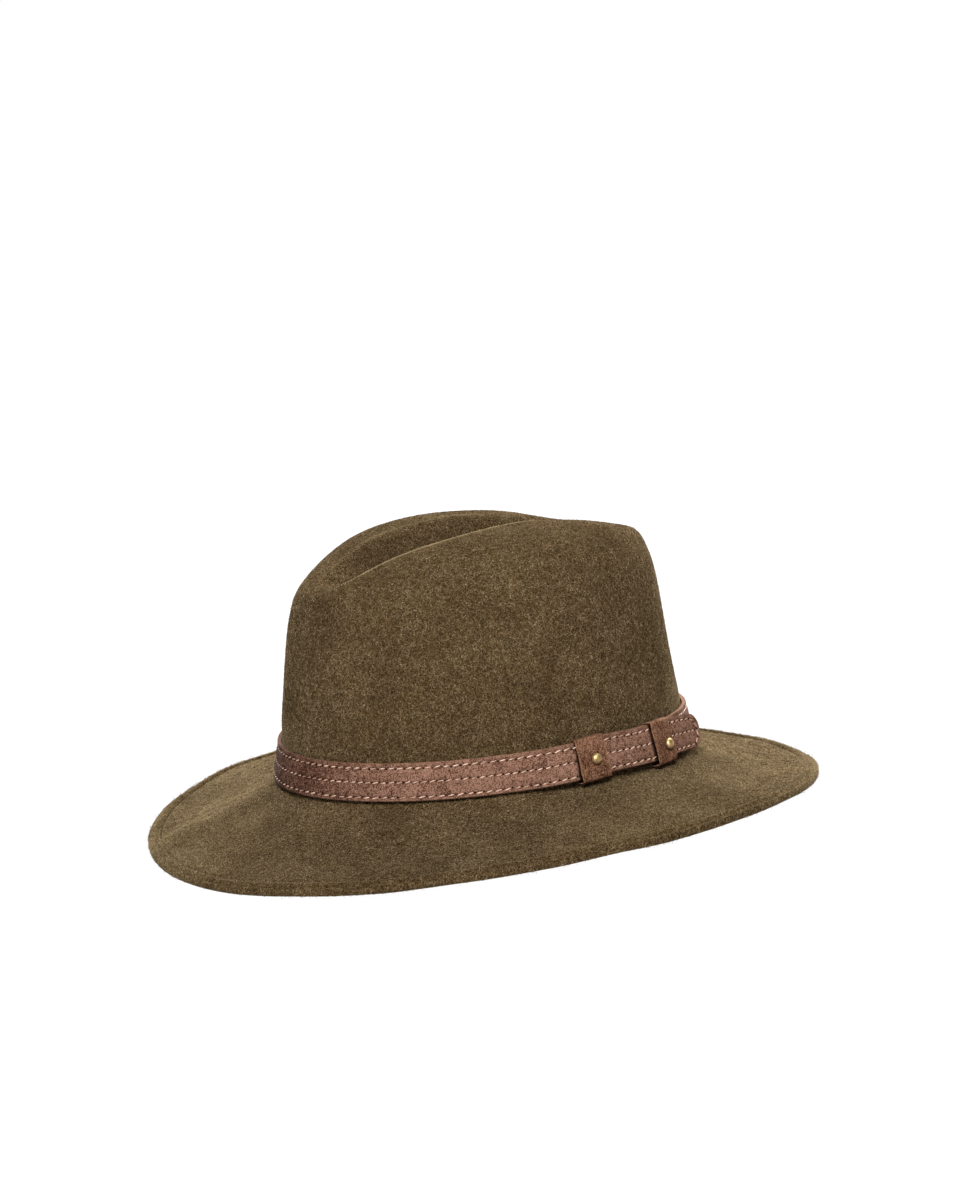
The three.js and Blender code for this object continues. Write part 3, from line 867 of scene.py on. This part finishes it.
flat = get_points(shape.verts)
along, up, out = flat.T
pressed = np.exp(-(row_distance(along, up) / ROW_PRESS_WIDTH) ** 2)
uneven = np.array([noise.noise((a * 0.09, u * 0.2, 3.0)) for a, u in zip(along, up)])
front = np.clip(out / STRAP_THICKNESS, 0, 1) ** 2
flat[:, 2] += front * (FACE_WAVE * uneven - ROW_PRESS * pressed)
flat[:, 1] += EDGE_WAVE * np.array([noise.noise((a * 0.12, 7.0, 0.0)) for a in along])
edge_share = 1 - smooth_step(edge_distance(along, up), 0.1, 0.5)
degrees = (np.interp(along, table_lengths, table_degrees) + 180) % 360 - 180
pale_share = smooth_step(degrees, PALE_START, PALE_END)
pale_share += RIGHT_SHARE * np.exp(-((degrees - RIGHT_PALE) / RIGHT_SPREAD) ** 2)
# Painted shade darkens the strap along its stitch rows, along its lower edge over the brim, and just
# before each keeper's front edge
shade_share = ROW_SHADE * np.exp(-(row_distance(along, up) / ROW_SHADE_WIDTH) ** 2)
shade_share = np.maximum(shade_share, 1 - smooth_step(up, -0.1, 0.5))
for keeper in KEEPERS.values():
    before = length_at(360 + keeper["start"]) - along
    beside = (1 - smooth_step(before, 0.2, 1.2)) * (before > -2)
    shade_share = np.maximum(shade_share, KEEPER_SHADE * beside)
set_points(shape.verts, wrap(flat))
mark_points(shape, "cut_edge", edge_share)
mark_points(shape, "rubbed", pale_share)
mark_points(shape, "shade", shade_share)
make_piece("strap", shape, [strap_leather], "hat_band")

# %% [markdown]
# ## Stitching
# Thick waxed thread runs in three rows along the strap, and at the tongue the outer rows meet round
# the tip. Each stitch is a short plump length that dives into a needle hole at both ends. Hundreds
# are needed, so one is a small sphere stretched by a matrix, with few faces.

# %% Thread material
# Waxed linen thread has a faint gloss and a cream colour that dirt and dye have turned pinkish.
thread_material = new_material("waxed_linen_thread")
thread_place = add_node(thread_material, "ShaderNodeTexCoord").outputs["Object"]
DIRT_SIZE = 2.0
thread_colour = add_node(thread_material, "ShaderNodeValToRGB", {
    "Fac": add_noise(thread_material, thread_place, DIRT_SIZE)})
set_ramp(thread_colour, [(0.36, "#9a6e57"), (0.62, "#f0ccb3")])
finish_material(thread_material, add_node(thread_material, "ShaderNodeBsdfPrincipled", {
    "Base Color": thread_colour.outputs["Color"], "Roughness": 0.6,
    "Specular IOR Level": 0.4}))

# A needle hole is only a dark pit in the leather, so it is drawn as a small dark blob of painted
# shadow
hole_material = new_material("needle_hole_shadow")
finish_material(hole_material, add_node(hole_material, "ShaderNodeBsdfPrincipled", {
    "Base Color": linear("#1a0f0a"), "Roughness": 1.0, "Specular IOR Level": 0.0}))
print("stitching materials:", thread_material.name, hole_material.name)

# %% Stitch rows as flat points with directions
FIRST_SHOWN = length_at(118)
KEEPER_COVER = 0.8


def under_keeper(along):
    return any(
        length_at(360 + keeper["start"]) + KEEPER_COVER < along
        < length_at(360 + keeper["end"]) - KEEPER_COVER for keeper in KEEPERS.values())


def row_points():
    """Every stitch's centre, its direction and its row's pitch on the flat strap."""
    radius = (TOP_ROW - BOTTOM_ROW) / 2
    middle = (TOP_ROW + BOTTOM_ROW) / 2
    arc = math.pi * radius
    outer = 2 * (TIP_START - FIRST_SHOWN) + arc
    for index in range(int(outer / STITCH_PITCH)):
        gone = (index + 0.5) * STITCH_PITCH
        if gone < TIP_START - FIRST_SHOWN:
            yield FIRST_SHOWN + gone, BOTTOM_ROW, 0.0, STITCH_PITCH
        elif gone < TIP_START - FIRST_SHOWN + arc:
            turn = (gone - (TIP_START - FIRST_SHOWN)) / radius
            yield (
                TIP_START + radius * math.sin(turn), middle - radius * math.cos(turn), turn,
                STITCH_PITCH)
        else:
            back = gone - (TIP_START - FIRST_SHOWN) - arc
            yield TIP_START - back, TOP_ROW, math.pi, STITCH_PITCH
    centre_length = STRAP_LENGTH - 4.0 - FIRST_SHOWN
    for index in range(int(centre_length / MIDDLE_PITCH)):
        yield FIRST_SHOWN + (index + 0.5) * MIDDLE_PITCH, MIDDLE_ROW, 0.0, MIDDLE_PITCH


# %% Sew the stitches
STITCH_WIDTH = 0.6
STITCH_HEIGHT = 0.6
STITCH_SLANT = math.radians(12)
STITCH_LIFT = 0.08
HOLE_LENGTH, HOLE_WIDTH, HOLE_DEPTH = 1.5, 1.1, 0.22

stitches = np.array([point for point in row_points() if not under_keeper(point[0])])
shape = bmesh.new()
bmesh.ops.create_uvsphere(shape, u_segments=6, v_segments=6, radius=1, matrix=(
    Matrix.Translation((0, 0, STITCH_LIFT)) @ Matrix.Rotation(math.pi / 2, 4, "Y")
    @ Matrix.Diagonal((STITCH_HEIGHT / 2, STITCH_WIDTH / 2, STITCH_LENGTH / 2, 1))))
hole = bmesh.ops.create_uvsphere(shape, u_segments=6, v_segments=4, radius=1, matrix=(
    Matrix.Translation((STITCH_PITCH / 2, 0, 0))
    @ Matrix.Diagonal((HOLE_LENGTH / 2, HOLE_WIDTH / 2, HOLE_DEPTH, 1))))
for vertex in hole["verts"]:
    for face in vertex.link_faces:
        face.material_index = 1
shape = repeat(shape, len(stitches))
points = get_points(shape.verts).reshape(len(stitches), -1, 3)
wobble = np.array([noise.noise((along * 1.7, up, 11.0)) for along, up, turn, pitch in stitches])
turns = (stitches[:, 2] + STITCH_SLANT * (1 + wobble))[:, None]
long_way = points[:, :, 0] * (stitches[:, 3] / STITCH_PITCH * (1 + 0.15 * wobble))[:, None]
points = np.stack([
    stitches[:, 0, None] + long_way * np.cos(turns) - points[:, :, 1] * np.sin(turns),
    (stitches[:, 1] + 0.15 * wobble)[:, None]
    + long_way * np.sin(turns) + points[:, :, 1] * np.cos(turns),
    points[:, :, 2] + STRAP_THICKNESS - ROW_PRESS,
], axis=-1)
set_points(shape.verts, wrap(points.reshape(-1, 3)))
make_piece("strap_stitching", shape, [thread_material, hole_material], None)
print("stitches:", len(stitches))

# %% [markdown]
# ## Keepers
# Each keeper is a strip of the same leather wrapped round the strap. It is made flat as well: a grid
# is rolled into a loop with rounded folds, closed, given its thickness and bevelled on its cut edges,
# then wrapped round the hat with the strap inside.

# %% Shape of a keeper
KEEPER_THICKNESS = 0.95
# Half of the leather's thickness is made, on the inner side of the loop
KEEPER_WALL = KEEPER_THICKNESS / 2
KEEPER_BEVEL = 0.22
KEEPER_BACK = 0.5
KEEPER_FRONT = 6.0
KEEPER_TOP = STRAP_WIDTH + 0.85
KEEPER_CORNER = 1.3
CORNER_STEPS = 6
LOOP_STEPS = 64
KEEPER_COLUMNS = 14
RIVET_RADIUS = 2.5
# A ring of painted shadow darkens the keeper round each rivet
RIVET_SHADE, RIVET_SHADE_WIDTH = 0.6, 0.5
# The rivet pulls the leather in round it, and the leather wavers in depth and sideways
RIVET_PULL, RIVET_PULL_WIDTH = 0.25, 3.2
KEEPER_WAVE, KEEPER_SWAY = 0.22, 0.25
# The front cut edge of a keeper stands off the strap
KEEPER_CURL, KEEPER_CURL_WIDTH = 0.45, 3.0


def loop_section(share, fold):
    """A point (up, out) on the keeper's rounded loop. share goes once round from 0 to 1."""
    low, high = -fold + KEEPER_THICKNESS / 2, KEEPER_TOP
    corners = [(low, KEEPER_BACK), (low, KEEPER_FRONT), (high, KEEPER_FRONT), (high, KEEPER_BACK)]
    points = []
    for index, (up, out) in enumerate(corners):
        before, after = corners[index - 1], corners[(index + 1) % 4]
        to_before = np.array(before) - (up, out)
        to_after = np.array(after) - (up, out)
        to_before = to_before / np.linalg.norm(to_before) * KEEPER_CORNER
        to_after = to_after / np.linalg.norm(to_after) * KEEPER_CORNER
        centre = np.array((up, out)) + to_before + to_after
        for step in range(CORNER_STEPS + 1):
            sweep = math.pi / 2 * step / CORNER_STEPS
            points.append(centre - to_after * math.cos(sweep) - to_before * math.sin(sweep))
    points = np.array(points + [points[0]])
    gone = np.concatenate([[0], np.cumsum(np.linalg.norm(np.diff(points, axis=0), axis=1))])
    return np.stack([
        np.interp(share * gone[-1], gone, points[:, 0]),
        np.interp(share * gone[-1], gone, points[:, 1])], axis=1)


def make_keeper(name, node, start, end, fold, rivet, rivet_height, skew):
    start_length, end_length = length_at(360 + start), length_at(360 + end)
    shape = bmesh.new()
    bmesh.ops.create_grid(
        shape, x_segments=KEEPER_COLUMNS, y_segments=LOOP_STEPS, size=0.5)
    grid = get_points(shape.verts) + [0.5, 0.5, 0]
    section = loop_section(grid[:, 1], fold)
    along = start_length + (end_length - start_length) * grid[:, 0]
    set_points(shape.verts, np.stack([along, section[:, 0], section[:, 1]], axis=1))
    bmesh.ops.remove_doubles(shape, verts=shape.verts, dist=0.01)
    bmesh.ops.recalc_face_normals(shape, faces=shape.faces)
    bmesh.ops.solidify(shape, geom=shape.faces[:], thickness=KEEPER_WALL)
    round_cut_edges(shape, KEEPER_BEVEL, 2)
    flat = get_points(shape.verts)
    along, up, out = flat.T
    front = smooth_step(out, KEEPER_BACK + 1, KEEPER_FRONT - 1)
    standing = 1 - smooth_step(along - start_length, 0, KEEPER_CURL_WIDTH)
    to_edge = np.minimum(along - start_length, end_length - along)
    edge_share = 1 - smooth_step(to_edge, 0.1, 0.7)
    rivet_length = length_at(360 + rivet)
    from_rivet = np.hypot(along - rivet_length, up - rivet_height)
    near_rivet = np.exp(-(from_rivet / RIVET_PULL_WIDTH) ** 2)
    ring = np.exp(-((from_rivet - RIVET_RADIUS) / RIVET_SHADE_WIDTH) ** 2)
    uneven = np.array([
        noise.noise((a * 0.25, u * 0.18, 20.0 + rivet)) for a, u in zip(along, up)])
    flat[:, 2] += front * (
        KEEPER_WAVE * uneven - RIVET_PULL * near_rivet + KEEPER_CURL * standing)
    flat[:, 0] += front * (skew * (up / STRAP_WIDTH - 0.5) + KEEPER_SWAY * uneven)
    set_points(shape.verts, wrap(flat, on_strap=False))
    mark_points(shape, "cut_edge", edge_share)
    # The keepers' colour is paler towards their top
    mark_points(shape, "rubbed", 0.4 + 0.3 * smooth_step(up, 4, 15))
    # The shade attribute holds the painted shadow round the rivet
    mark_points(shape, "shade", RIVET_SHADE * ring)
    return make_piece(name, shape, [keeper_leather], node)


for place_name, values in KEEPERS.items():
    make_keeper(f"{place_name}_keeper", f"keeper_{place_name}", **values)

# %% [markdown]
# ## Rivets
# The rivets are turned brass with a low domed head. A half outline spun round its axis makes one,
# with a small lip where the head meets the leather.

# %% Brass material
# Brass left to age goes from yellow to a dull antique gold, darker where the leather shades it.
brass = new_material("antique_brass")
brass_place = add_node(brass, "ShaderNodeTexCoord").outputs["Object"]
TARNISH_SIZE = 1.5
brass_colour = add_node(brass, "ShaderNodeValToRGB", {
    "Fac": add_noise(brass, brass_place, TARNISH_SIZE, detail=3.0)})
set_ramp(brass_colour, [(0.35, "#a98a55"), (0.65, "#e0c596")])
finish_material(brass, add_node(brass, "ShaderNodeBsdfPrincipled", {
    "Base Color": brass_colour.outputs["Color"], "Metallic": 1.0, "Roughness": 0.55}))
print("brass material:", len(brass.node_tree.nodes), "nodes")

# %% Spin the rivets
RIVET_HEIGHT = 1.75
RIVET_LIP = 0.3
DOME_STEPS = 12
dome_turns = [math.pi / 2 * step / DOME_STEPS for step in range(DOME_STEPS + 1)]
RIVET_OUTLINE = [
    (RIVET_RADIUS * math.sin(turn), RIVET_HEIGHT * math.cos(turn)) for turn in dome_turns]
RIVET_OUTLINE += [(RIVET_RADIUS, -RIVET_LIP), (0.0, -RIVET_LIP)]
RIVET_STEPS = 40


def make_rivet(name, node, rivet, rivet_height):
    shape = bmesh.new()
    outline = [shape.verts.new((radius, 0, height)) for radius, height in RIVET_OUTLINE]
    edges = [shape.edges.new(pair) for pair in zip(outline, outline[1:])]
    bmesh.ops.spin(
        shape, geom=outline + edges, axis=(0, 0, 1), cent=(0, 0, 0), angle=2 * math.pi,
        steps=RIVET_STEPS, use_merge=True)
    bmesh.ops.remove_doubles(shape, verts=shape.verts, dist=0.01)
    bmesh.ops.recalc_face_normals(shape, faces=shape.faces)
    along = length_at(360 + rivet)
    seat_out = KEEPER_FRONT + KEEPER_WALL - 0.1
    seat, above = wrap(np.array([
        (along, rivet_height, seat_out), (along, rivet_height, seat_out + 1)]), on_strap=False)
    axis = Vector(above - seat).normalized()
    turn = axis.to_track_quat("Z", "Y").to_matrix().to_4x4()
    bmesh.ops.transform(
        shape, verts=shape.verts, matrix=Matrix.Translation(seat) @ turn @ Matrix.Scale(MM, 4))
    return make_piece(name, shape, [brass], node)


for place_name, values in KEEPERS.items():
    make_rivet(
        f"{place_name}_rivet", f"rivet_{place_name}", values["rivet"], values["rivet_height"])
